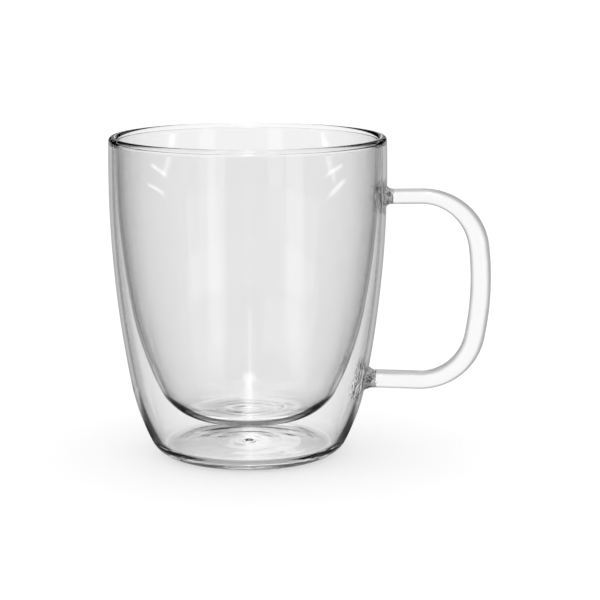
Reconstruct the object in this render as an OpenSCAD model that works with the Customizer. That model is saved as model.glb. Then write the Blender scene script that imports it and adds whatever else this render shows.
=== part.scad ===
// Double walled glass cup: two blown shells fused at the lip, with a bent rod handle.
// The cup stands on the plane z = 0, its axis is Z, and the handle points along +X.

/* [Outer shell] */
// Height of the cup, from the table to the top of the lip
cup_h = 106; // [96:1:118]
// Widest diameter of the outer shell
belly_d = 91.5; // [82:0.5:102]
// Depth of the widest ring below the top of the lip
belly_drop = 12.5; // [6:0.5:20]
// Lean of the side, in degrees, where it starts to round in
side_lean = 10.9; // [9.5:0.1:12.5]
// Radius of the rounding between the side and the foot
turn_r = 70.5; // [55:0.5:85]
// Lean of the rounding, in degrees, where the foot corner starts
foot_lean = 27.3; // [22:0.1:34]
// Radius of the foot corner
foot_r = 8; // [5:0.1:12]
// Lean of the foot corner, in degrees, where it meets the flat ring under the base
foot_edge_lean = 80; // [74:0.5:84]
// Thickness of the outer shell at its side
outer_wall = 1.5; // [1.1:0.1:2.1]
// Thickness of the outer shell at its base
outer_base = 3; // [2.2:0.1:4]
// Width of the flat ring that the cup stands on, round the shallow hollow under the base
foot_ring = 1.244; // [0.8:0.001:4]
// Rise of that hollow at its middle
hollow_rise = 0.8; // [0.5:0.1:1.2]

/* [Inner vessel] */
// Air gap between the two shells at the lip
lip_gap = 0.6; // [0.3:0.1:1.5]
// Air gap between the two shells at the base
base_gap = 9.2; // [6:0.1:14]
// Lean of the vessel's side, in degrees, where it starts to round in
vessel_lean = 10; // [8.8:0.1:11.5]
// Radius of the rounding between the vessel's side and its floor
vessel_turn_r = 107; // [90:1:120]
// Lean of that rounding, in degrees, where the floor corner starts
vessel_low_lean = 26.8; // [23:0.1:31]
// Radius of the floor corner
vessel_corner_r = 15.8; // [11:0.1:20]
// Thickness of the vessel at its side
vessel_wall = 0.8; // [0.6:0.1:1.4]
// Thickness of the vessel at its floor
vessel_base = 1.8; // [1.4:0.1:3.5]

/* [Lip] */
// Height of the fused bead, from its seat on the shells to its top
bead_h = 2.6; // [2.3:0.1:5]

/* [Vent seal] */
// Diameter of the vent hole that lets hot air out of the gap
vent_d = 3.2; // [2:0.1:5]
// Diameter of the drop of glass under the vent
drop_d = 4.6; // [3.4:0.1:7]
// Depth of that drop below the roof of the hollow
drop_h = 0.6; // [0.2:0.05:0.7]
// Height of the nub that the seal leaves inside the gap
nub_h = 0.5; // [0.2:0.1:1.5]

/* [Handle] */
// Depth of the upper arm's middle below the top of the lip
arm_drop = 19.2; // [12:0.1:26]
// Slope of the upper arm, in degrees, as it runs up and out from its weld
arm_rise = 1.3; // [0:0.1:4]
// Length of the straight upper arm, from its weld to the upper bend
arm_l = 9.6; // [4:0.1:16]
// Radius of the upper bend, at the rod's middle
upper_bend_r = 18.4; // [14:0.1:22]
// Turn of the upper bend, in degrees
upper_turn = 84.2; // [78:0.1:88]
// Radius of the slow curve of the grip
grip_r = 94; // [75:1:120]
// Turn of the grip, in degrees
grip_turn = 18.4; // [12:0.1:24]
// Radius of the lower bend, at the rod's middle
lower_bend_r = 18.7; // [14:0.1:22]
// Thickness of the rod in the upper arm
upper_arm_t = 5; // [4:0.1:7]
// Thickness of the rod in the grip
grip_t = 6.6; // [5:0.1:9]
// Thickness of the rod in the lower arm
lower_arm_t = 6; // [4.5:0.1:8]
// Width of the rod in the upper arm
upper_arm_w = 6.4; // [5:0.1:9]
// Width of the rod in the grip
grip_w = 8; // [6:0.1:11]
// Width of the rod in the lower arm
lower_arm_w = 7.4; // [5:0.1:10]

/* [Handle welds] */
// Length of the upper weld, from the outer shell to the rod
upper_weld_l = 2.2; // [1.6:0.1:4]
// Length of the lower weld, from the outer shell to the rod
lower_weld_l = 3; // [2:0.1:5]
// Growth of the upper weld all round, where it meets the shell
upper_flare = 1.2; // [0.6:0.1:2]
// Growth of the lower weld all round, where it meets the shell
lower_flare = 1.5; // [0.6:0.1:2.5]

/* [Hidden] */
$fn = 180;

// Cuts reach this far past what they cut
overrun = 5;
// The flare of a weld stops this far short of the shell, and a straight lip carries it in
weld_lip = 0.25;
// Steps in each arc of an outline
arc_steps = 12;
// Most of the bead's height that its round top may take
lip_round_share = 0.8;
// Sides of the rod's oval, and rings in each stretch of it
rod_sides = 32;
bend_rings = 14;
grip_rings = 8;
weld_rings = 7;

// Angle from level to straight down, and of the whole turn that the rod makes
square_turn = 90;
half_turn = 180;

seat_z = cup_h - bead_h;
belly_z = cup_h - belly_drop;
vessel_z = outer_base + base_gap;

// Roof of the hollow under the base, at a distance from the axis
function roof_at(x) = cap_at(hollow_d, hollow_rise, x);

// A bowl's side is three arcs that run into each other: a long one down from the widest
// ring, a rounding, and a corner down to the floor. Its list holds, for each arc, its
// middle, its radius and the lean at its start and end. The long arc gets the radius that
// closes the run between the two heights.
function long_r(drop, lean, turn, low_lean, corner, end_lean) =
    (drop - turn * (sin(low_lean) - sin(lean)) - corner * (sin(end_lean) - sin(low_lean)))
    / sin(lean);
function down(lean) = [cos(lean), -sin(lean)];
function bowl(widest_r, widest_z, floor_z, lean, turn, low_lean, corner, end_lean) =
    let (side = long_r(widest_z - floor_z, lean, turn, low_lean, corner, end_lean),
         side_mid = [widest_r - side, widest_z],
         turn_mid = side_mid + (side - turn) * down(lean),
         corner_mid = turn_mid + (turn - corner) * down(low_lean))
    [[side_mid, side, 0, lean], [turn_mid, turn, lean, low_lean],
     [corner_mid, corner, low_lean, end_lean]];

// Lean and radius of a bowl's side at a height above its corner
function arc_at(b, z) = z > arc_low(b[0]) ? b[0] : b[1];
function arc_low(arc) = arc[0].y - arc[1] * sin(arc[3]);
function lean_at(b, z) = let (arc = arc_at(b, z)) asin((arc[0].y - z) / arc[1]);
function radius_at(b, z) = let (arc = arc_at(b, z)) arc[0].x + arc[1] * cos(lean_at(b, z));

outer = bowl(belly_d / 2, belly_z, 0, side_lean, turn_r, foot_lean, foot_r, foot_edge_lean);
hollow_d = 2 * (outer[2][0].x + outer[2][1] * cos(foot_edge_lean) - foot_ring);
mean_outer_t = (outer_wall + outer_base) / 2;
cavity = bowl(belly_d / 2 - outer_wall, belly_z, outer_base, side_lean,
              turn_r - mean_outer_t, foot_lean, foot_r - mean_outer_t, square_turn);
vessel = bowl(radius_at(cavity, seat_z) - lip_gap, seat_z, vessel_z, vessel_lean,
              vessel_turn_r, vessel_low_lean, vessel_corner_r, square_turn);
mean_vessel_t = (vessel_wall + vessel_base) / 2;
drink = bowl(radius_at(vessel, seat_z) - vessel_wall, seat_z, vessel_z + vessel_base,
             vessel_lean, vessel_turn_r - mean_vessel_t, vessel_low_lean,
             vessel_corner_r - mean_vessel_t, square_turn);

// Points down a bowl's side, from a height to the end of its floor corner
function arc_points(arc, from) =
    [for (i = [1:arc_steps]) arc[0] + arc[1] * down(from + (arc[3] - from) * i / arc_steps)];
function side_points(b, top_z) =
    let (top_lean = lean_at(b, top_z))
    concat([[radius_at(b, top_z), top_z]], arc_points(b[0], top_lean),
           arc_points(b[1], b[1][2]), arc_points(b[2], b[2][2]));
function reversed(list) = [for (i = [len(list) - 1:-1:0]) list[i]];

// Height over its chord of an arc that spans a width and rises by a height, at a
// distance from its middle, and the points of that arc between two such distances
function cap_r(width, rise) = (width * width / 4 + rise * rise) / (2 * rise);
function cap_at(width, rise, x) =
    let (r = cap_r(width, rise)) rise - r + sqrt(r * r - x * x);
function cap_points(width, rise, base_z, from, to) =
    [for (i = [0:arc_steps]) let (x = from + (to - from) * i / arc_steps)
        [x, base_z + cap_at(width, rise, x)]];

// The shell stands on a flat ring round a shallow hollow, and the vent is in its middle
module outer_wall() {
    color("aliceblue", 0.35) rotate_extrude() polygon(concat(
        side_points(outer, seat_z),
        cap_points(hollow_d, hollow_rise, 0, hollow_d / 2, drop_d / 2),
        [[vent_d / 2, roof_at(vent_d / 2)], [vent_d / 2, outer_base]],
        reversed(side_points(cavity, seat_z))));
}

module inner_wall() {
    color("lightcyan", 0.45) rotate_extrude() polygon(concat(
        side_points(vessel, seat_z), [[0, vessel_z], [0, vessel_z + vessel_base]],
        reversed(side_points(drink, seat_z))));
}

// The lip: both shells run together into one bead, round on top and grooved below
function half_ring(mid, size, from, to) =
    [for (i = [0:2 * arc_steps]) let (a = from + (to - from) * i / (2 * arc_steps))
        mid + [size.x * cos(a), size.y * sin(a)]];
module rim_bead() {
    in_r = radius_at(drink, seat_z);
    out_r = radius_at(outer, seat_z);
    gap_in = radius_at(vessel, seat_z);
    gap_out = radius_at(cavity, seat_z);
    half_w = (out_r - in_r) / 2;
    round_h = min(half_w, bead_h * lip_round_share);
    groove_r = (gap_out - gap_in) / 2;
    color("azure", 0.6) rotate_extrude() polygon(concat(
        [[in_r, seat_z]],
        half_ring([gap_in + groove_r, seat_z], [groove_r, groove_r], half_turn, 0),
        [[out_r, seat_z]],
        half_ring([in_r + half_w, cup_h - round_h], [half_w, round_h], 0, half_turn)));
}

// A drop of glass melted into the vent: it hangs under the roof of the hollow, fills the
// vent and leaves a nub inside the gap
module vent_seal() {
    drop_rise = roof_at(drop_d / 2) - (hollow_rise - drop_h);
    drop = [for (p = cap_points(drop_d, drop_rise, 0, 0, drop_d / 2))
        [p.x, roof_at(drop_d / 2) - p.y]];
    color("lightblue", 0.7) rotate_extrude() polygon(concat(
        drop, [[vent_d / 2, roof_at(vent_d / 2)]],
        cap_points(vent_d, nub_h, outer_base, vent_d / 2, 0)));
}

// The rod runs in the plane y = 0. A station of it holds its middle, its heading below
// level in degrees, its thickness and its width.
upper_z = cup_h - arm_drop;
upper_face_x = radius_at(outer, upper_z) + upper_weld_l;
grip_heading = upper_turn - arm_rise;
low_heading = grip_heading + grip_turn;

function side_of(heading) = [sin(heading), cos(heading)];
function bend_mid(at, heading, r) = at - r * side_of(heading);
function bend_at(mid, heading, r) = mid + r * side_of(heading);
function ease(share) = (1 - cos(half_turn * share)) / 2;
function blend(a, b, share) = a + (b - a) * ease(share);
function bend(at, heading, turn, r, rings, from, to) =
    let (mid = bend_mid(at, heading, r))
    [for (i = [1:rings]) let (now = heading + turn * i / rings)
        [bend_at(mid, now, r), now, blend(from.x, to.x, i / rings),
         blend(from.y, to.y, i / rings)]];
function last(list) = list[len(list) - 1];

upper_size = [upper_arm_t, upper_arm_w];
grip_size = [grip_t, grip_w];
lower_size = [lower_arm_t, lower_arm_w];
arm_end = [upper_face_x, upper_z] + arm_l * [cos(arm_rise), sin(arm_rise)];
upper_bend = bend(arm_end, -arm_rise, upper_turn, upper_bend_r, bend_rings,
                  upper_size, grip_size);
grip = bend(last(upper_bend)[0], grip_heading, grip_turn, grip_r, grip_rings,
            grip_size, grip_size);
lower_bend = bend(last(grip)[0], low_heading, half_turn - low_heading, lower_bend_r,
                  bend_rings, grip_size, lower_size);
lower_z = last(lower_bend)[0].y;
lower_face_x = radius_at(outer, lower_z) + lower_weld_l;
stations = concat(
    [[[upper_face_x, upper_z], 0, upper_arm_t, upper_arm_w],
     [arm_end, -arm_rise, upper_arm_t, upper_arm_w]],
    upper_bend, grip, lower_bend,
    [[[lower_face_x, lower_z], half_turn, lower_arm_t, lower_arm_w]]);

function oval(i) = let (a = 4 * square_turn * i / rod_sides) [cos(a), sin(a)];
function rod_ring(s) = [for (i = [0:rod_sides - 1]) let (p = oval(i), side = side_of(s[1]))
    [s[0].x + side.x * s[2] / 2 * p.x, s[3] / 2 * p.y, s[0].y + side.y * s[2] / 2 * p.x]];

// A closed skin over a row of rings that each hold the same number of points
module skin(rings) {
    n = len(rings[0]);
    rows = len(rings);
    sides = [for (k = [0:rows - 2], i = [0:n - 1]) let (j = (i + 1) % n)
        each [[k * n + i, k * n + j, (k + 1) * n + i],
              [k * n + j, (k + 1) * n + j, (k + 1) * n + i]]];
    start = [for (i = [n - 1:-1:0]) i];
    end = [for (i = [0:n - 1]) (rows - 1) * n + i];
    polyhedron([for (ring = rings) each ring], concat(sides, [start, end]));
}

module handle() {
    color("lightcyan", 0.6) skin([for (s = stations) rod_ring(s)]);
}

// A weld starts as the rod's own oval and flares, by a quarter of an ellipse, on to the
// shell. Its rings lean and curve more and more like the shell as they come near it.
function shell_shift(z, y, dz) =
    tan(lean_at(outer, z)) * dz + sqrt(pow(radius_at(outer, z), 2) - y * y)
    - radius_at(outer, z);
function weld_ring(face_x, z, size, length, flare, inward, share) =
    let (grow = flare * (1 - sqrt(1 - share * share)))
    [for (i = [0:rod_sides - 1])
        let (p = oval(i), dz = (size.x / 2 + grow) * p.x, y = (size.y / 2 + grow) * p.y)
        [face_x - inward + shell_shift(z, y, dz) * share, y, z + dz]];
module weld(face_x, z, size, length, flare) {
    run = length - weld_lip;
    flared = [for (i = [0:weld_rings])
        weld_ring(face_x, z, size, length, flare, run * sin(square_turn * i / weld_rings),
                  sin(square_turn * i / weld_rings))];
    rings = concat(flared, [weld_ring(face_x, z, size, length, flare, run + overrun / 2, 1)]);
    difference() {
        skin(reversed(rings));
        rotate_extrude() polygon(concat(side_points(outer, seat_z), [[0, 0], [0, seat_z]]));
    }
}

module upper_handle_weld() {
    color("powderblue", 0.7) weld(upper_face_x, upper_z, upper_size, upper_weld_l, upper_flare);
}

module lower_handle_weld() {
    color("powderblue", 0.7) weld(lower_face_x, lower_z, lower_size, lower_weld_l, lower_flare);
}

outer_wall();
inner_wall();
rim_bead();
handle();
upper_handle_weld();
lower_handle_weld();
vent_seal();
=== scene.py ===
from math import asin, atan2, ceil, cos, exp, pi, radians, sin, sqrt

import bmesh
import bpy
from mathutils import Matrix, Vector, noise


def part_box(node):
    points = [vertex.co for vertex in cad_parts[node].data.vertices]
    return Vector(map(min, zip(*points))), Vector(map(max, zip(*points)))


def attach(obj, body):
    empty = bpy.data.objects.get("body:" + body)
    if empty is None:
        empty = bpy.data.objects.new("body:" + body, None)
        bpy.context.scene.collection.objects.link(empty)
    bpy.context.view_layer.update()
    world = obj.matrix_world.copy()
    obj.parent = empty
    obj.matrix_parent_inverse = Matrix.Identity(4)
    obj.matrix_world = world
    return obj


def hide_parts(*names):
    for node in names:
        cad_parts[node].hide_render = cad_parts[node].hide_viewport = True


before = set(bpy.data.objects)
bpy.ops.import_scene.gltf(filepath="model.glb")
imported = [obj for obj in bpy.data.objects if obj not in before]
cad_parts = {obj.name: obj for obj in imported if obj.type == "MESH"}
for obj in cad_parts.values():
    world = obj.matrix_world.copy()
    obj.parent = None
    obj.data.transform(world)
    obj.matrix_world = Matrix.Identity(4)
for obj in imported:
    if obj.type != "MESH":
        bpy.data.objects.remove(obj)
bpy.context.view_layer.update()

mm = 0.001

# Camera. A long lens a little above the lip looks down on the cup, and the handle comes
# slightly toward it.
camera_range = 660.4 * mm
camera_height = 173.37 * mm
camera_aside = 17.1 * mm
camera_turn = radians(8)
camera_pitch = radians(10.484)
camera_lens = 121.17
camera_sensor = 36

level_view = Vector((-sin(camera_turn), cos(camera_turn), 0))
level_right = Vector((cos(camera_turn), sin(camera_turn), 0))
camera_data = bpy.data.cameras.new("studio_camera")
camera_data.lens = camera_lens
camera_data.sensor_width = camera_sensor
camera_data.clip_start = 10 * mm
camera = bpy.data.objects.new("studio_camera", camera_data)
camera.location = camera_aside * level_right - camera_range * level_view
camera.location.z = camera_height
camera.rotation_euler = (pi / 2 - camera_pitch, 0, camera_turn)
bpy.context.scene.collection.objects.link(camera)
bpy.context.scene.camera = camera

# Outer shell. A bulb of clear borosilicate glass blown in a mould, with a shallow hollow
# under its base. Its outline is turned round the cup's axis, and its surface is softly
# uneven, as blown glass is.
cup_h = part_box("rim_bead")[1].z
seat_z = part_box("outer_wall")[1].z
belly_r = 45.75 * mm
belly_z = cup_h - 12.5 * mm
side_lean = radians(10.9)
turn_r = 70.5 * mm
foot_lean = radians(27.3)
foot_r = 8 * mm
foot_edge_lean = radians(80)
outer_wall_t = 1.5 * mm
outer_base_t = 3 * mm
hollow_r = 25.5 * mm
hollow_rise = 0.8 * mm
vent_r = 1.6 * mm
drop_r = 2.3 * mm
row_step = 1 * mm
arc_steps = 6
floor_step = 0.45 * mm
turn_columns = 256
crowding = 0.4
merge_reach = 0.0005 * mm
crease_angle = radians(40)
glass_ior = 1.47


def bowl(widest_r, widest_z, floor_z, lean, turn, low_lean, corner, end_lean):
    """A bowl's side as three arcs that run into each other, each (middle, radius, leans)."""
    drop = widest_z - floor_z
    taken = turn * (sin(low_lean) - sin(lean)) + corner * (sin(end_lean) - sin(low_lean))
    side = (drop - taken) / sin(lean)
    side_mid = (widest_r - side, widest_z)
    turn_mid = (side_mid[0] + (side - turn) * cos(lean), side_mid[1] - (side - turn) * sin(lean))
    corner_mid = (turn_mid[0] + (turn - corner) * cos(low_lean),
                  turn_mid[1] - (turn - corner) * sin(low_lean))
    return [(side_mid, side, 0, lean), (turn_mid, turn, lean, low_lean),
            (corner_mid, corner, low_lean, end_lean)]


def lean_at(arcs, z):
    mid, radius, _, low_lean = arcs[0]
    if z < mid[1] - radius * sin(low_lean):
        mid, radius = arcs[1][:2]
    return asin((mid[1] - z) / radius)


def radius_at(arcs, z):
    mid, radius, _, low_lean = arcs[0]
    if z < mid[1] - radius * sin(low_lean):
        mid, radius = arcs[1][:2]
    return mid[0] + sqrt(radius * radius - (mid[1] - z) ** 2)


def side_outline(arcs, top_z):
    """Points down a bowl's side, from a height to the end of its floor corner."""
    points = [(radius_at(arcs, top_z), top_z)]
    start = lean_at(arcs, top_z)
    for mid, radius, _, end in arcs:
        steps = max(arc_steps, ceil(radius * (end - start) / row_step))
        for i in range(1, steps + 1):
            lean = start + (end - start) * i / steps
            points.append((mid[0] + radius * cos(lean), mid[1] - radius * sin(lean)))
        start = end
    return points


def spread(start, end, steps):
    """Numbers from start to end in even steps."""
    return [start + (end - start) * i / steps for i in range(steps + 1)]


def distance(start, end):
    return sqrt((end[0] - start[0]) ** 2 + (end[1] - start[1]) ** 2)


def run(start, end, step=row_step):
    """Points of a straight run, without its first point."""
    steps = max(1, ceil(distance(start, end) / step))
    return list(zip(spread(start[0], end[0], steps), spread(start[1], end[1], steps)))[1:]


def ringed(start, end, rings, step):
    """A level run with rings raised or sunk in it, each (radius, width, height)."""
    points = [start] + run(start, end, step)
    return [(r, z + sum(height * exp(-((r - middle) / width) ** 2)
                        for middle, width, height in rings)) for r, z in points]


def cap_height(half_width, rise, x):
    """Height over its chord of an arc that spans twice half_width and rises by rise."""
    radius = (half_width ** 2 + rise ** 2) / (2 * rise)
    return rise - radius + sqrt(radius * radius - x * x)


def turn_at(column):
    """Angle of a column round the axis. Columns crowd together on the handle's side."""
    share = 2 * pi * column / turn_columns
    return share - crowding * sin(share)


def lathe(stretches, uneven, windows=()):
    """Turns a closed outline round the axis. Each stretch is (points, is_fused); fused ones are
    where the glass runs on into another piece, so they show no surface. A window is
    (first row, last row, columns each side of the handle) and is left open."""
    points = [stretches[0][0][0]]
    fused = []
    for stretch, is_fused in stretches:
        new = stretch[1:]
        points += new
        fused += [is_fused] * len(new)
    points.pop()
    verts = []
    starts = []
    for radius, z in points:
        starts.append(len(verts))
        if radius == 0:
            verts.append((0, 0, z))
            continue
        for column in range(turn_columns):
            angle = turn_at(column)
            shift, lift = uneven(angle, z, radius)
            out = radius + shift
            verts.append((out * cos(angle), out * sin(angle), z + lift))
    faces = []
    marks = []
    for k, is_fused in enumerate(fused):
        after = (k + 1) % len(points)
        if points[k][0] == points[after][0] == 0:
            continue
        for column in range(turn_columns):
            other = (column + 1) % turn_columns
            if any(low <= k < high and not wide <= column < turn_columns - wide
                   for low, high, wide in windows):
                continue
            if points[k][0] == 0:
                face = (starts[k], starts[after] + column, starts[after] + other)
            elif points[after][0] == 0:
                face = (starts[k] + column, starts[after], starts[k] + other)
            else:
                face = (starts[k] + column, starts[after] + column, starts[after] + other,
                        starts[k] + other)
            faces.append(face)
            marks.append(is_fused)
    return verts, faces, marks


def solid_piece(name, node, mesh_parts, glass, values=()):
    """Makes a piece of clear glass from verts, faces and marks, with its fused faces unseen.
    Values are (name, number for each vert), and materials read them by name."""
    verts, faces, marks = mesh_parts
    mesh = bpy.data.meshes.new(name)
    mesh.from_pydata(verts, [], faces)
    for label, numbers in values:
        mesh.attributes.new(label, "FLOAT", "POINT").data.foreach_set("value", numbers)
    mesh.materials.append(glass)
    mesh.materials.append(fused_glass)
    mesh.polygons.foreach_set("material_index", [int(mark) for mark in marks])
    soft = bmesh.new()
    soft.from_mesh(mesh)
    bmesh.ops.remove_doubles(soft, verts=soft.verts, dist=merge_reach)
    soft.to_mesh(mesh)
    soft.free()
    mesh.shade_smooth()
    mesh.set_sharp_from_angle(angle=crease_angle)
    mesh.validate()
    piece = bpy.data.objects.new(name, mesh)
    bpy.context.scene.collection.objects.link(piece)
    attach(piece, "root")
    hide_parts(node)


def foot_oval(node):
    """Height, half height and half width of the oval where a weld meets the shell."""
    low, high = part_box(node)
    return (low.z + high.z) / 2, (high.z - low.z) / 2, high.y


weld_nodes = ("upper_handle_weld", "lower_handle_weld")
ovals = [foot_oval(node) for node in weld_nodes]
weld_ends = [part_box(node)[1].x for node in weld_nodes]
dent_depth = 0.5 * mm
dent_size = 2.2 * mm
dent_reach = 1.6
dent_wide = 2.1
dent_side = 0.8
dent_skin = 0.3 * outer_wall_t
dent_ring = 0.35
dent_ring_turns = 3.1
dent_folds = 1.5


def weld_dent(angle, z, radius):
    """Crumpled glass on the inside of the outer shell, where the handle was pressed on."""
    if cos(angle) < dent_side or radius > radius_at(outer_arcs, z) - dent_skin:
        return 0
    depth = 0
    for middle_z, half_h, half_w in ovals:
        across = radius * sin(angle) / (half_w * dent_wide)
        up = (z - middle_z) / half_h
        reach = sqrt(across * across + up * up)
        if reach < dent_reach:
            fade = 0.5 + 0.5 * cos(pi * reach / dent_reach)
            place = Vector((radius * sin(angle), z, middle_z)) / dent_size
            fold = noise.noise(place) + 0.5 * noise.noise(place * 2.1)
            ring = dent_ring * cos(dent_ring_turns * reach)
            depth -= fade * (ring + dent_folds * fold) * dent_depth
    return depth


wave_depth = 0.02 * mm
wave_fade_h = 14 * mm
wave_lip_h = 10 * mm
outer_wave_z = 6 * mm
lump_layers = 9
base_limits = (24 * mm, 4 * mm, 4 * mm)
base_lump = 5 * mm
base_lump_h = 0.03 * mm


def part_way(value, low, over):
    """How far a value has come over a length that starts at low, from 0 to 1."""
    return min(1, max(0, (value - low) / over))


def side_fade(z, low_z):
    """Share of the sides' waves at a height, fading out at the foot and the lip."""
    return part_way(z, low_z, wave_fade_h) * part_way(seat_z - z, 0, wave_lip_h)


def floor_wave(angle, z, radius, limits, lump, lump_h):
    """Soft lumps of a floor, inside a radius and below a height."""
    out_r, fade_r, top_z = limits
    if z >= top_z:
        return 0
    place = Vector((radius * cos(angle), radius * sin(angle), lump_layers * z)) / lump
    return lump_h * part_way(out_r - radius, 0, fade_r) * noise.noise(place)


def outer_wave(angle, z, radius):
    """Soft unevenness of the blown outer shell: its shift outward and its lift."""
    swell = sin(2 * angle + 1.3 + z * 46) + 0.6 * sin(5 * angle + 0.4 - z * 71)
    swell += 0.5 * sin(z * 210 + 3 * angle)
    shift = wave_depth * side_fade(z, outer_wave_z) * swell + weld_dent(angle, z, radius)
    return shift, floor_wave(angle, z, radius, base_limits, base_lump, base_lump_h)


def math(tree, operation, a, b=None, c=None):
    """A Math node fed by sockets or numbers."""
    node = tree.nodes.new("ShaderNodeMath")
    node.operation = operation
    for socket, value in zip(node.inputs, (a, b, c)):
        if value is None:
            continue
        if isinstance(value, (int, float)):
            socket.default_value = value
        else:
            tree.links.new(value, socket)
    return node.outputs[0]


def length_of(tree, a, b):
    """Length of the longest side of a right triangle."""
    return math(tree, "SQRT", math(tree, "ADD", math(tree, "MULTIPLY", a, a),
                                   math(tree, "MULTIPLY", b, b)))


def along(tree, vector, axis):
    """How far a vector goes along an axis."""
    node = tree.nodes.new("ShaderNodeVectorMath")
    node.operation = "DOT_PRODUCT"
    node.inputs[1].default_value = axis
    tree.links.new(vector, node.inputs[0])
    return node.outputs["Value"]


def ramp(tree, value, low, high, start, end):
    """Runs smoothly from start to end while a value goes from low to high."""
    node = tree.nodes.new("ShaderNodeMapRange")
    node.interpolation_type = "SMOOTHSTEP"
    for name, part in (("From Min", low), ("From Max", high), ("To Min", start), ("To Max", end)):
        node.inputs[name].default_value = part
    tree.links.new(value, node.inputs["Value"])
    return node.outputs["Result"]


fused_glass = bpy.data.materials.new("fused_glass")
fused_glass.use_nodes = True
fused_glass.node_tree.nodes.clear()
clear = fused_glass.node_tree.nodes.new("ShaderNodeBsdfTransparent")
clear_out = fused_glass.node_tree.nodes.new("ShaderNodeOutputMaterial")
fused_glass.node_tree.links.new(clear.outputs["BSDF"], clear_out.inputs["Surface"])


def clear_glass(name, roughness=0.0, clearness=1.0):
    material = bpy.data.materials.new(name)
    material.use_nodes = True
    shader = material.node_tree.nodes["Principled BSDF"]
    shader.inputs["Base Color"].default_value = (1, 1, 1, 1)
    shader.inputs["Roughness"].default_value = roughness
    shader.inputs["IOR"].default_value = glass_ior
    shader.inputs["Transmission Weight"].default_value = clearness
    return material


def noise_texture(tree, place, scale, detail, distortion=0.0):
    node = tree.nodes.new("ShaderNodeTexNoise")
    for name, value in (("Scale", scale), ("Detail", detail), ("Distortion", distortion)):
        node.inputs[name].default_value = value
    tree.links.new(place, node.inputs["Vector"])
    return node


def add_group(tree, group):
    node = tree.nodes.new("ShaderNodeGroup")
    node.node_tree = group
    return node


crumple_scale = 620
crumple_twist = 0.8
crumple_full = 1.1
rod_fade_l = 3 * mm


def crumple_group():
    """Node group: height of the small folds that the melted glass keeps round each weld."""
    tree = bpy.data.node_groups.new("crumple", "ShaderNodeTree")
    tree.interface.new_socket("Height", in_out="OUTPUT", socket_type="NodeSocketFloat")
    result = tree.nodes.new("NodeGroupOutput")
    place = tree.nodes.new("ShaderNodeTexCoord").outputs["Object"]
    folds = noise_texture(tree, place, crumple_scale, 2, crumple_twist)
    folds.noise_type = "RIDGED_MULTIFRACTAL"
    outward = along(tree, place, (1, 0, 0))
    near = []
    for (middle_z, half_h, half_w), end_x in zip(ovals, weld_ends):
        up = math(tree, "SUBTRACT", along(tree, place, (0, 0, 1 / half_h)), middle_z / half_h)
        across = along(tree, place, (0, 1 / (half_w * dent_wide), 0))
        reach = length_of(tree, up, across)
        near.append(math(tree, "MULTIPLY", ramp(tree, reach, crumple_full, dent_reach, 1, 0),
                         ramp(tree, outward, end_x, end_x + rod_fade_l, 1, 0)))
    close = math(tree, "MULTIPLY", math(tree, "ADD", *near),
                 math(tree, "GREATER_THAN", outward, 0))
    tree.links.new(math(tree, "MULTIPLY", close, folds.outputs[0]), result.inputs["Height"])
    return tree


crumple = crumple_group()


def crumpled(material, depth):
    """Gives a glass the small folds round the welds."""
    tree = material.node_tree
    bump = tree.nodes.new("ShaderNodeBump")
    bump.inputs["Distance"].default_value = depth
    tree.links.new(add_group(tree, crumple).outputs["Height"], bump.inputs["Height"])
    tree.links.new(bump.outputs["Normal"], tree.nodes["Principled BSDF"].inputs["Normal"])


outer_arcs = bowl(belly_r, belly_z, 0, side_lean, turn_r, foot_lean, foot_r, foot_edge_lean)
mean_outer_t = (outer_wall_t + outer_base_t) / 2
cavity_arcs = bowl(belly_r - outer_wall_t, belly_z, outer_base_t, side_lean,
                   turn_r - mean_outer_t, foot_lean, foot_r - mean_outer_t, pi / 2)


def roof_at(x):
    return cap_height(hollow_r, hollow_rise, x)


outer_side = side_outline(outer_arcs, seat_z)
foot_edge = outer_side[-1]
roof_steps = 40
roof = [(radius, roof_at(radius)) for radius in spread(hollow_r, drop_r, roof_steps)]
under = [foot_edge] + run(foot_edge, roof[0]) + roof[1:]
drop_seat = [roof[-1], (vent_r, roof_at(vent_r))]
vent_side = [drop_seat[-1], (vent_r, outer_base_t)]
cavity_side = side_outline(cavity_arcs, seat_z)

# Rings in the floors of the gap and the vessel, in mm: radius, width and height
base_rings = tuple((radius * mm, width * mm, height * mm) for radius, width, height in (
    (5.2, 0.9, 0.045), (8, 0.8, -0.03), (11.3, 1, 0.045), (14.5, 0.8, -0.02), (17.5, 1, 0.025),
    (21, 0.8, -0.015), (24.2, 0.9, 0.025)))
floor_rings = tuple((radius * mm, width * mm, height * mm) for radius, width, height in (
    (3, 1, 0.05), (6, 0.9, -0.06), (9, 0.9, 0.05), (12.2, 0.8, -0.06)))
cavity_floor = ringed(vent_side[-1], cavity_side[-1], base_rings, floor_step)
top_ring = [cavity_side[0], outer_side[0]]

window_reach = 7 * mm
window_columns = 12
window_rings = 10
cap_shares = (0.75, 0.5, 0.25)


def shell_point(angle, z):
    radius = radius_at(outer_arcs, z)
    radius += outer_wave(angle, z, radius)[0]
    return (radius * cos(angle), radius * sin(angle), z)


def window_rows(oval):
    """First and last row of the shell's grid that a weld's window takes."""
    inside = [k for k, point in enumerate(outer_side) if abs(point[1] - oval[0]) < window_reach]
    return inside[0], inside[-1]


def window_edge(oval):
    """Angle and height of each grid point round a window, clockwise from outside."""
    first, last = window_rows(oval)
    rows = [point[1] for point in outer_side[first:last + 1]]
    wide = window_columns
    return ([(turn_at(c), rows[0]) for c in range(-wide, wide)]
            + [(turn_at(wide), z) for z in rows[:-1]]
            + [(turn_at(c), rows[-1]) for c in range(wide, -wide, -1)]
            + [(turn_at(-wide), z) for z in rows[:0:-1]])


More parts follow.
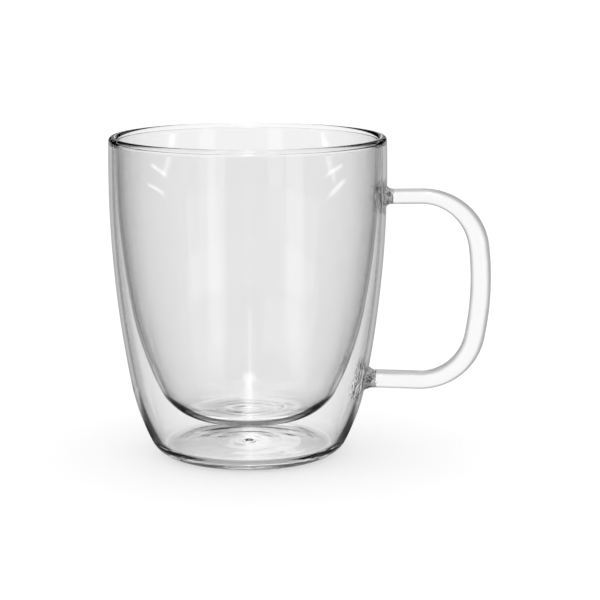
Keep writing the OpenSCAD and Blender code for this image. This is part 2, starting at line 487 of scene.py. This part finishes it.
def foot_turns(oval):
    """Turn round a weld's oval, from its top, that faces each point of its window."""
    z0, half_h, half_w = oval
    return [atan2(radius_at(outer_arcs, z) * sin(angle) / half_w, (z - z0) / half_h)
            for angle, z in window_edge(oval)]


def foot_point(oval, turn, share):
    """Angle and height of a point of a weld's oval, shrunk to a share of its size."""
    z = oval[0] + oval[1] * cos(turn) * share
    return asin(oval[2] * sin(turn) * share / radius_at(outer_arcs, z)), z


def window_patch(oval):
    """Fills a window of the shell: skin up to the weld's oval, and fused glass inside it."""
    edge = window_edge(oval)
    turns = foot_turns(oval)
    rings = []
    for step in range(window_rings + 1):
        share = step / window_rings
        ring = []
        for (angle, z), turn in zip(edge, turns):
            foot_angle, foot_z = foot_point(oval, turn, 1)
            ring.append(shell_point(angle + (foot_angle - angle) * share,
                                    z + (foot_z - z) * share))
        rings.append(ring)
    for share in cap_shares:
        rings.append([shell_point(*foot_point(oval, turn, share)) for turn in turns])
    return skin(rings, window_rings)


def skin(rings, open_rows, start_cap=False):
    """Verts, faces and marks of a skin over a row of rings, capped at its end. Rows from
    open_rows on are fused."""
    sides = len(rings[0])
    verts = [point for ring in rings for point in ring]
    faces = []
    marks = []
    for k in range(len(rings) - 1):
        for i in range(sides):
            j = (i + 1) % sides
            faces.append((k * sides + i, (k + 1) * sides + i, (k + 1) * sides + j, k * sides + j))
            marks.append(k >= open_rows)
    last = (len(rings) - 1) * sides
    faces.append(tuple(last + i for i in range(sides))[::-1])
    marks.append(True)
    if start_cap:
        faces.append(tuple(range(sides)))
        marks.append(True)
    return verts, faces, marks


shell_crumple = 0.35 * mm
shell_glass = clear_glass("shell_glass")
crumpled(shell_glass, shell_crumple)
windows = [(*window_rows(oval), window_columns) for oval in ovals]
verts, faces, marks = lathe([
    (outer_side, False), (under, False), (drop_seat, True), (vent_side, True),
    (cavity_floor, False), (cavity_side[::-1], False), (top_ring, True)], outer_wave, windows)
for oval in ovals:
    more_verts, more_faces, more_marks = window_patch(oval)
    faces += [tuple(i + len(verts) for i in face) for face in more_faces]
    verts += more_verts
    marks += more_marks
solid_piece("outer_shell", "outer_wall", (verts, faces, marks), shell_glass)

# Inner vessel. The bulb that holds the drink, blown smaller and sealed inside the outer
# one at the lip, with a thicker floor.
lip_gap = 0.6 * mm
vessel_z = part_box("inner_wall")[0].z
vessel_wall_t = 0.8 * mm
vessel_base_t = 1.8 * mm
vessel_lean = radians(10)
vessel_turn_r = 107 * mm
vessel_low_lean = radians(26.8)
vessel_corner_r = 15.8 * mm
inner_wave_z = 26 * mm
drink_limits = (15 * mm, 3 * mm, 20 * mm)
drink_lump = 4 * mm
drink_lump_h = 0.025 * mm


def inner_wave(angle, z, radius):
    """Soft unevenness of the inner vessel, with its own pattern."""
    swell = sin(3 * angle + 0.2 - z * 39) + 0.6 * sin(4 * angle + 2.4 + z * 83)
    swell += 0.5 * sin(z * 190 - 2 * angle)
    shift = wave_depth * side_fade(z, inner_wave_z) * swell
    return shift, floor_wave(angle, z, radius, drink_limits, drink_lump, drink_lump_h)


vessel_arcs = bowl(radius_at(cavity_arcs, seat_z) - lip_gap, seat_z, vessel_z, vessel_lean,
                   vessel_turn_r, vessel_low_lean, vessel_corner_r, pi / 2)
mean_vessel_t = (vessel_wall_t + vessel_base_t) / 2
drink_arcs = bowl(radius_at(vessel_arcs, seat_z) - vessel_wall_t, seat_z,
                  vessel_z + vessel_base_t, vessel_lean, vessel_turn_r - mean_vessel_t,
                  vessel_low_lean, vessel_corner_r - mean_vessel_t, pi / 2)
vessel_side = side_outline(vessel_arcs, seat_z)
vessel_floor = ringed(vessel_side[-1], (0, vessel_z), floor_rings, floor_step)
drink_side = side_outline(drink_arcs, seat_z)
drink_floor = ringed((0, vessel_z + vessel_base_t), drink_side[-1], floor_rings[1:], floor_step)
vessel_ring = [drink_side[0], vessel_side[0]]
vessel_skin = lathe([
    (vessel_side, False), (vessel_floor, False), ([vessel_floor[-1], drink_floor[0]], True),
    (drink_floor, False), (drink_side[::-1], False), (vessel_ring, True)], inner_wave)
solid_piece("inner_vessel", "inner_wall", vessel_skin,
            clear_glass("vessel_glass"))

# Lip. The two shells are melted together into one bead, round on top and grooved below
# over the air gap.
bead_in_r = drink_side[0][0]
bead_out_r = outer_side[0][0]
gap_in_r = vessel_side[0][0]
gap_out_r = cavity_side[0][0]
bead_half = (bead_out_r - bead_in_r) / 2
bead_round_share = 0.8
bead_round_h = min(bead_half, bead_round_share * (cup_h - seat_z))
bead_steps = 72
groove_steps = 32
edge_step = 0.1 * mm


def arch(mid_r, base_z, size, steps, start, end):
    return [(mid_r + size[0] * cos(angle), base_z + size[1] * sin(angle))
            for angle in spread(start, end, steps)]


def no_wave(angle, z, radius):
    return 0, 0


groove_half = (gap_out_r - gap_in_r) / 2
groove_h = 1.1 * mm
groove = arch(gap_in_r + groove_half, seat_z, (groove_half, groove_h), groove_steps, 0, pi)
crown = arch(bead_in_r + bead_half, cup_h - bead_round_h, (bead_half, bead_round_h),
             bead_steps, pi, 0)
inner_edge = [(bead_in_r, seat_z)] + run((bead_in_r, seat_z), crown[0], edge_step)
outer_edge = [crown[-1]] + run(crown[-1], (bead_out_r, seat_z), edge_step)
lip_skin = lathe([
    (inner_edge, False), (crown, False), (outer_edge, False),
    ([(bead_out_r, seat_z), (gap_out_r, seat_z)], True), (groove, False),
    ([(gap_in_r, seat_z), (bead_in_r, seat_z)], True)], no_wave)
solid_piece("lip_bead", "rim_bead", lip_skin, clear_glass("lip_glass"))

# Vent seal. A drop of glass melted into the hole that let the hot air out of the gap.
drop_h = 0.6 * mm
nub_h = 0.5 * mm
drop_rise = roof_at(drop_r) - (hollow_rise - drop_h)
drop_steps = 16
drop = [(radius, roof_at(drop_r) - cap_height(drop_r, drop_rise, radius))
        for radius in spread(drop_r, 0, drop_steps)]
nub = [(radius, outer_base_t + cap_height(vent_r, nub_h, radius))
       for radius in spread(0, vent_r, drop_steps)]
drop_skin = lathe([
    (nub, False), ([(vent_r, outer_base_t), (vent_r, roof_at(vent_r))], True),
    ([(vent_r, roof_at(vent_r)), drop[0]], True), (drop, False),
    ([drop[-1], nub[0]], True)], no_wave)
solid_piece("vent_drop", "vent_seal", drop_skin, clear_glass("seal_glass"))

# Handle. One solid glass rod, drawn thinner at its ends and bent into an ear.
arm_drop = 19.2 * mm
arm_rise = radians(1.3)
arm_l = 9.6 * mm
upper_bend_r = 18.4 * mm
upper_turn = radians(84.2)
grip_r = 94 * mm
grip_turn = radians(18.4)
lower_bend_r = 18.7 * mm
upper_size = (5 * mm, 6.4 * mm)
grip_size = (6.6 * mm, 8 * mm)
lower_size = (6 * mm, 7.4 * mm)
upper_weld_l = 2.2 * mm
lower_weld_l = 3 * mm
rod_sides = 64
rod_step = 0.7 * mm
rod_crumple = 0.3 * mm
ripple_scale = 110
ripple_shift = 0.16
# Painted shade near the rod's edges: where it starts, where it is full, and how dark it gets
edge_start = 0.5
edge_full = 0.9
edge_painted_shade = 0.25
upper_z = cup_h - arm_drop
upper_face_x = radius_at(outer_arcs, upper_z) + upper_weld_l


def ease(share):
    return (1 - cos(pi * share)) / 2


def bend(at, heading, turn, radius, start, end):
    """Stations round a bend: (x, z), heading below level, thickness and width."""
    mid = (at[0] - radius * sin(heading), at[1] - radius * cos(heading))
    rings = ceil(radius * turn / rod_step)
    stations = []
    for i in range(1, rings + 1):
        now = heading + turn * i / rings
        part = ease(i / rings)
        stations.append(((mid[0] + radius * sin(now), mid[1] + radius * cos(now)), now,
                         start[0] + (end[0] - start[0]) * part,
                         start[1] + (end[1] - start[1]) * part))
    return stations


def straight(start, end, heading, size):
    return [(point, heading, *size) for point in run(start, end, rod_step)]


arm_start = (upper_face_x, upper_z)
arm_end = (upper_face_x + arm_l * cos(arm_rise), upper_z + arm_l * sin(arm_rise))
arm = [(arm_start, 0, *upper_size)] + straight(arm_start, arm_end, -arm_rise, upper_size)
upper_bend = bend(arm_end, -arm_rise, upper_turn, upper_bend_r, upper_size, grip_size)
grip_heading = upper_turn - arm_rise
grip = bend(upper_bend[-1][0], grip_heading, grip_turn, grip_r, grip_size, grip_size)
low_heading = grip_heading + grip_turn
lower_bend = bend(grip[-1][0], low_heading, pi - low_heading, lower_bend_r, grip_size, lower_size)
lower_z = lower_bend[-1][0][1]
lower_face_x = radius_at(outer_arcs, lower_z) + lower_weld_l
lower_arm = straight(lower_bend[-1][0], (lower_face_x, lower_z), pi, lower_size)
stations = arm + upper_bend + grip + lower_bend + lower_arm


def rod_ring(station):
    (x, z), heading, thick, wide = station
    ring = []
    for i in range(rod_sides):
        angle = 2 * pi * i / rod_sides
        out = thick / 2 * cos(angle)
        ring.append((x + sin(heading) * out, wide / 2 * sin(angle), z + cos(heading) * out))
    return ring


def rod_shade_group():
    """Node group: painted shade in the rod's colour near its inner and outer edge, where a solid
    rod turns light away; the same amount on both and all along."""
    tree = bpy.data.node_groups.new("rod_shade", "ShaderNodeTree")
    tree.interface.new_socket("Outward", in_out="INPUT", socket_type="NodeSocketFloat")
    tree.interface.new_socket("Color", in_out="OUTPUT", socket_type="NodeSocketColor")
    source = tree.nodes.new("NodeGroupInput")
    result = tree.nodes.new("NodeGroupOutput")
    place = tree.nodes.new("ShaderNodeTexCoord").outputs["Object"]
    ripple = noise_texture(tree, place, ripple_scale, 1)
    shift = math(tree, "MULTIPLY", math(tree, "SUBTRACT", ripple.outputs[0], 0.5), ripple_shift)
    edge = math(tree, "ABSOLUTE", math(tree, "ADD", source.outputs["Outward"], shift))
    shade = ramp(tree, edge, edge_start, edge_full, 1, edge_painted_shade)
    tree.links.new(shade, result.inputs["Color"])
    return tree


# The rod's colour carries a painted shade near its inner and outer edge.
rod_glass = clear_glass("rod_glass")
crumpled(rod_glass, rod_crumple)
tree = rod_glass.node_tree
shade = add_group(tree, rod_shade_group())
value = tree.nodes.new("ShaderNodeAttribute")
value.attribute_name = "outward"
tree.links.new(value.outputs["Fac"], shade.inputs["Outward"])
tree.links.new(shade.outputs["Color"], tree.nodes["Principled BSDF"].inputs["Base Color"])
rings = [rod_ring(station) for station in stations]
outward = [cos(2 * pi * i / rod_sides) for _ in stations for i in range(rod_sides)]
solid_piece("handle_rod", "handle", skin(rings, len(rings), True), rod_glass,
            (("outward", outward),))

# Handle welds. The softened rod is pressed on to the shell, and a collar of glass flows
# out round each end.
upper_flare = 1.2 * mm
lower_flare = 1.5 * mm
weld_rings = 36
fold_depth = 0.16 * mm
fold_size = 0.9 * mm
fold_bias = 0.6
weld_roughness = 0.03
weld_clearness = 0.45
weld_crumple = 0.4 * mm
# Painted highlights and shade in the welds' colour: noise size, twist, its limits and the darkest
# shade
melt_scale = 900
melt_twist = 1.5
melt_low = 0.38
melt_high = 0.52
melt_painted_shade = 0.14


def melt_painted_light_group():
    """Node group: painted highlights and painted shade of the melted glass, as pale and dark
    blotches of a noise.
    """
    tree = bpy.data.node_groups.new("melt_shade", "ShaderNodeTree")
    tree.interface.new_socket("Color", in_out="OUTPUT", socket_type="NodeSocketColor")
    result = tree.nodes.new("NodeGroupOutput")
    place = tree.nodes.new("ShaderNodeTexCoord").outputs["Object"]
    melt = noise_texture(tree, place, melt_scale, 1, melt_twist)
    shade = ramp(tree, melt.outputs[0], melt_low, melt_high, melt_painted_shade, 1)
    tree.links.new(shade, result.inputs["Color"])
    return tree


# The welds' colour carries painted highlights and painted shade.
weld_glass = clear_glass("weld_glass", weld_roughness, weld_clearness)
crumpled(weld_glass, weld_crumple)
tree = weld_glass.node_tree
shade = add_group(tree, melt_painted_light_group())
tree.links.new(shade.outputs["Color"], tree.nodes["Principled BSDF"].inputs["Base Color"])


def folded(point, mid_z, depth):
    """Moves a point of a weld in or out, so that the glass lies in small folds."""
    place = Vector(point) / fold_size
    fold = abs(noise.noise(place)) * 2 - fold_bias + 0.5 * noise.noise(place * 2.3)
    out = Vector((0, point[1], point[2] - mid_z)).normalized()
    return tuple(Vector(point) + out * fold * depth)


def weld_mesh(oval, face_x, z, size, flare):
    """A collar that starts as the rod's own oval and flares out tangent to the shell."""
    turns = foot_turns(oval)
    rings = [[shell_point(*foot_point(oval, turn, share)) for turn in turns]
             for share in (*cap_shares[::-1], 1)]
    for k in range(1, weld_rings + 1):
        share = cos(pi / 2 * k / weld_rings)
        grow = flare * (1 - sqrt(max(0, 1 - share * share)))
        depth = fold_depth * sin(pi * k / weld_rings)
        ring = []
        for turn in turns:
            dz = (size[0] / 2 + grow) * cos(turn)
            y = (size[1] / 2 + grow) * sin(turn)
            shell_x = sqrt(radius_at(outer_arcs, z + dz) ** 2 - y * y)
            point = (face_x + (shell_x - face_x) * share, y, z + dz)
            ring.append(folded(point, z, depth))
        rings.append(ring)
    verts, faces, marks = skin(rings, len(rings), True)
    sides = len(turns)
    for k in range(len(cap_shares)):
        for i in range(sides):
            marks[k * sides + i] = True
    return verts, faces, marks


upper_place = (upper_face_x, upper_z, upper_size, upper_flare)
lower_place = (lower_face_x, lower_z, lower_size, lower_flare)
for name, node, oval, place in zip(("upper_weld", "lower_weld"), weld_nodes, ovals,
                                   (upper_place, lower_place)):
    solid_piece(name, node, weld_mesh(oval, *place), weld_glass)

# Studio. A plain pale table under soft light. The table is white to the camera and
# through the glass, and keeps the cup's soft shadow. What the glass mirrors is a dark room
# with a pale backdrop behind the cup, soft boxes round it and a bright ceiling.
table_size = 200
table_drop = 0.05 * mm
room_light = 0.9
shadow_albedo = 0.6
shadow_glow = 0.54
glass_albedo = 0.1
glass_glow = 0.92
bar_straight = 100 * mm
bar_curve = 1.9
side_blur = 3 * mm
box_side_blur = 0.8
box_edge_blur = 1.5
strip_side_blur = 0.006
strip_end_blur = 3
many_bounces = 32
mirror_bounces = 16


def times(tree, *parts):
    total = parts[0]
    for part in parts[1:]:
        total = math(tree, "MULTIPLY", total, part)
    return total


def add_all(tree, parts):
    total = parts[0]
    for part in parts[1:]:
        total = math(tree, "ADD", total, part)
    return total


def choose(tree, mask, there, elsewhere):
    """One value where a mask is 1, and another where it is 0."""
    return math(tree, "ADD", times(tree, mask, there),
                times(tree, math(tree, "SUBTRACT", 1, mask), elsewhere))


def turn_between(tree, up, ahead):
    """Angle in degrees of a direction given by two of its parts."""
    return times(tree, math(tree, "ARCTAN2", up, ahead), 180 / pi)


def side_angle(tree, vector):
    """Angle in degrees of a direction from straight behind the cup, to the right positive."""
    return turn_between(tree, along(tree, vector, level_right), along(tree, vector, level_view))


def between(tree, value, low, high, soft):
    """Mask of the values from low to high, with soft ends."""
    return times(tree, ramp(tree, value, low - soft, low + soft, 0, 1),
                 ramp(tree, value, high - soft, high + soft, 1, 0))


def emptied(block):
    """Makes a material or world read nodes, and gives its empty tree and a Light Path node."""
    block.use_nodes = True
    block.node_tree.nodes.clear()
    return block.node_tree, block.node_tree.nodes.new("ShaderNodeLightPath")


bpy.ops.mesh.primitive_plane_add(size=table_size, location=(0, 0, -table_drop))
table = bpy.context.object
table.name = "table"
paint = bpy.data.materials.new("table_paint")
tree, path = emptied(paint)
place = tree.nodes.new("ShaderNodeNewGeometry").outputs["Position"]
ahead = along(tree, place, level_view)
right = along(tree, place, level_right)
aside = math(tree, "ABSOLUTE", right)
off = turn_between(tree, math(tree, "SUBTRACT", aside, belly_r), ahead)
reach = length_of(tree, ahead, right)
turn = side_angle(tree, place)
is_behind = ramp(tree, ahead, -side_blur, side_blur, 0, 1)
is_before = math(tree, "SUBTRACT", 1, is_behind)
is_round = ramp(tree, math(tree, "ABSOLUTE", turn), 55, 65, 1, 0)
is_far = ramp(tree, reach, 80 * mm, 100 * mm, 0, 1)
is_far_behind = times(tree, is_behind, ramp(tree, reach, 85 * mm, 95 * mm, 0, 1))

# A light bar lies along each side, bent towards the camera's end.
bar_bend = math(tree, "MINIMUM", math(tree, "SUBTRACT", ahead, bar_straight), 0)
bar_place = math(tree, "ADD", aside, times(tree, bar_bend, bar_bend, bar_curve))
is_bar = between(tree, ahead, -240 * mm, -60 * mm, 25 * mm)

# Painted light on the table, seen only mirrored in the glass, for lit parts of the room and for
# light
# and shade round and under the cup: mask, what is measured, its limits, their blur, level
painted_light_parts = (
    (is_far_behind, off, 7, 31.5, 2, 0.42),
    (is_far_behind, off, 36, 38.5, 0.7, 0.4),
    (is_far_behind, off, 42, 45, 0.7, 0.4),
    (is_far, turn, -163, -149, 1.5, 0.45),
    (is_far, turn, 133, 148, 1.5, 0.45),
    (is_round, reach, 25 * mm, 90 * mm, 2 * mm, 0.5),
    (is_behind, reach, -5 * mm, 13.5 * mm, 1.5 * mm, 0.7),
    (is_before, reach, 9 * mm, 25 * mm, 1 * mm, 1),
    (is_before, reach, 13.5 * mm, 18 * mm, 1 * mm, 0.7),
    (is_before, reach, -5 * mm, 9 * mm, 1 * mm, 0.4),
    (is_before, reach, 25.8 * mm, 32 * mm, 0.8 * mm, 0.4),
    (is_before, reach, -10 * mm, 39.5 * mm, 5.5 * mm, 0.05),
    (is_bar, bar_place, 825 * mm, 890 * mm, 10 * mm, 2.4))
mirrored = add_all(tree, [times(tree, mask, between(tree, value, low, high, soft), level)
                          for mask, value, low, high, soft, level in painted_light_parts])
is_mirrored = math(tree, "GREATER_THAN", path.outputs["Glossy Depth"], 0.5)
is_direct = path.outputs["Is Camera Ray"]
seen = choose(tree, is_mirrored, mirrored, choose(tree, is_direct, shadow_glow, glass_glow))
seen = times(tree, seen, math(tree, "LESS_THAN", path.outputs["Diffuse Depth"], 0.5))
matt = tree.nodes.new("ShaderNodeBsdfDiffuse")
glow = tree.nodes.new("ShaderNodeEmission")
total = tree.nodes.new("ShaderNodeAddShader")
out = tree.nodes.new("ShaderNodeOutputMaterial")
tree.links.new(choose(tree, is_direct, shadow_albedo, glass_albedo), matt.inputs["Color"])
tree.links.new(seen, glow.inputs["Strength"])
tree.links.new(glow.outputs[0], total.inputs[0])
tree.links.new(matt.outputs[0], total.inputs[1])
tree.links.new(total.outputs[0], out.inputs["Surface"])
table.data.materials.append(paint)

world = bpy.data.worlds.new("studio")
bpy.context.scene.world = world
world.cycles.sampling_method = "NONE"
tree, path = emptied(world)
direction = tree.nodes.new("ShaderNodeTexCoord").outputs["Generated"]
angle = side_angle(tree, direction)
rise = along(tree, direction, (0, 0, 1))
height = times(tree, math(tree, "ARCSINE", rise), 180 / pi)
side = math(tree, "ABSOLUTE", along(tree, direction, level_right))
arc = turn_between(tree, rise, along(tree, direction, level_view))

# Soft boxes: name, middle angle, half width, lowest and highest edge, level
soft_boxes = (
    ("backdrop", 0, 10, -5, 14, 0.3),
    ("backdrop_top", 0, 6, 14, 30, 0.3),
    ("right_back", 26, 10, 14, 32, 0.36),
    ("left_back", -47, 12, 14, 34, 0.5),
    ("right_front", 130, 20, -5, 12, 0.8),
    ("front", 180, 30, -5, 12, 0.28),
    ("left_front", -130, 20, -5, 12, 0.6),
    ("left_front_top", -150, 14, 14, 32, 0.55),
    ("left_side", -118, 18, 14, 32, 0.3),
    ("left_high", -55, 25, 36, 62, 0.4),
    ("overhead_back", 0, 15, 34, 72, 1.3),
    ("overhead_front", 180, 15, 57, 73, 3),
    ("ceiling", 180, 88, 75, 100, 1.6))
lights = []
for name, middle, half, low, high, level in soft_boxes:
    turned = math(tree, "WRAP", math(tree, "SUBTRACT", angle, middle), 180, -180)
    across = ramp(tree, math(tree, "ABSOLUTE", turned), half - box_side_blur,
                  half + box_side_blur, 1, 0)
    lights.append(times(tree, across, between(tree, height, low, high, box_edge_blur), level))

# Strip lights in the plane of the view: lowest and highest angle from behind, half width,
# level
strip_lights = ((-4, 22, 0.035, 0.9), (22, 38, 0.035, 0.6), (80, 100, 0.035, 3),
                (100, 135, 0.05, 1.6), (135, 160, 0.03, 1))
for low, high, half, level in strip_lights:
    across = ramp(tree, side, half - strip_side_blur, half + strip_side_blur, 1, 0)
    lights.append(times(tree, across, between(tree, arc, low, high, strip_end_blur), level))
is_mirrored = math(tree, "GREATER_THAN", path.outputs["Glossy Depth"], 0.5)
is_diffuse = math(tree, "GREATER_THAN", path.outputs["Diffuse Depth"], 0.5)
seen = choose(tree, is_mirrored, add_all(tree, lights), 1)
light = tree.nodes.new("ShaderNodeBackground")
light.inputs["Color"].default_value = (1, 1, 1, 1)
out = tree.nodes.new("ShaderNodeOutputWorld")
tree.links.new(choose(tree, is_diffuse, room_light, seen), light.inputs["Strength"])
tree.links.new(light.outputs[0], out.inputs["Surface"])

cycles = bpy.context.scene.cycles
cycles.max_bounces = many_bounces
cycles.transmission_bounces = many_bounces
cycles.glossy_bounces = mirror_bounces
cycles.transparent_max_bounces = many_bounces
bpy.context.scene.view_settings.view_transform = "Standard"
